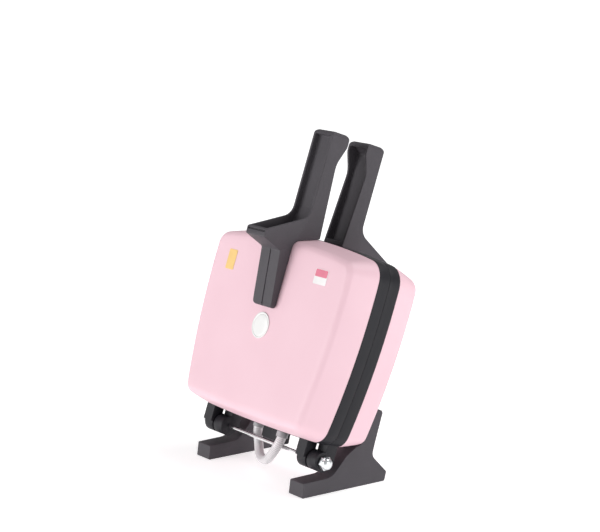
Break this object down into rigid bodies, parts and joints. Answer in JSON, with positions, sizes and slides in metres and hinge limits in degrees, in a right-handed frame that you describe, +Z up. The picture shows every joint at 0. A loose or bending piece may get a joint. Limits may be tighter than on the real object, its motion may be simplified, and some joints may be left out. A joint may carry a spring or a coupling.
{
  "type": "waffle maker",
  "caption": "Upright two-waffle maker: two pink metal halves in dark rings, hinged on a rod, with channelled handles, splayed feet and a link cable.",
  "frame": {"origin": "centre of the closed appliance's footprint on the surface it stands on", "axes": "+Z up, +Y towards the rear half that carries the feet, +X along the hinge rod"},
  "size_m": [0.244, 0.1796, 0.3442],
  "materials": {
    "foot_plastic": "satin charcoal",
    "handle_plastic": "satin charcoal",
    "ring_plastic": "satin black",
    "pink_enamel": "satin pink enamel",
    "rod_steel": "polished",
    "nut_zinc": "bright zinc",
    "screw_steel": "zinc plated",
    "plate_coating": "non-stick coating",
    "element_steel": "heat darkened",
    "reflector_aluminium": "bright rolled",
    "ceramic": "glazed ceramic",
    "collar_plastic": "satin grey",
    "cable_sleeve": "braided light grey sleeve",
    "lens_white": "white translucent",
    "holder_plastic": "matte",
    "neon_glass": "orange glass",
    "sticker_yellow": "printed film",
    "sticker_red": "printed film"
  },
  "bodies": {
    "base_half": {"left_foot": "foot_plastic", "right_foot": "foot_plastic", "foot_screws": "screw_steel", "hinge_rod": "rod_steel", "left_dome_nut": "nut_zinc", "right_dome_nut": "nut_zinc", "hinge_washers": "screw_steel", "rear_frame": "ring_plastic", "rear_cover": "pink_enamel", "rear_handle": "handle_plastic", "rear_handle_screws": "screw_steel", "rear_plate": "plate_coating", "rear_element": "element_steel", "rear_reflector": "reflector_aluminium", "rear_plate_screws": "screw_steel", "rear_cover_screws": "screw_steel", "rear_thermostat": "ceramic", "rear_thermal_fuse": "ceramic", "rear_terminal_block": "ceramic", "mains_gland": "ring_plastic", "rear_cable_collar": "collar_plastic", "link_cable": "cable_sleeve"},
    "front_half": {"front_frame": "ring_plastic", "front_cover": "pink_enamel", "front_handle": "handle_plastic", "front_handle_screws": "screw_steel", "front_plate": "plate_coating", "front_element": "element_steel", "front_reflector": "reflector_aluminium", "front_plate_screws": "screw_steel", "front_cover_screws": "screw_steel", "front_thermostat": "ceramic", "front_terminal_block": "ceramic", "lamp_lens": "lens_white", "lamp_holder": "holder_plastic", "neon_lamp": "neon_glass", "front_cable_collar": "collar_plastic", "yellow_sticker": "sticker_yellow", "two_colour_sticker": "sticker_red"}
  },
  "joints": [
    {"name": "lid_hinge", "type": "hinge", "parent": "base_half", "child": "front_half", "pos_m": [0, -0.05663, 0.03375], "axis": [1, 0, 0], "range_deg": [0, 93], "deforming": ["link_cable"]}
  ]
}
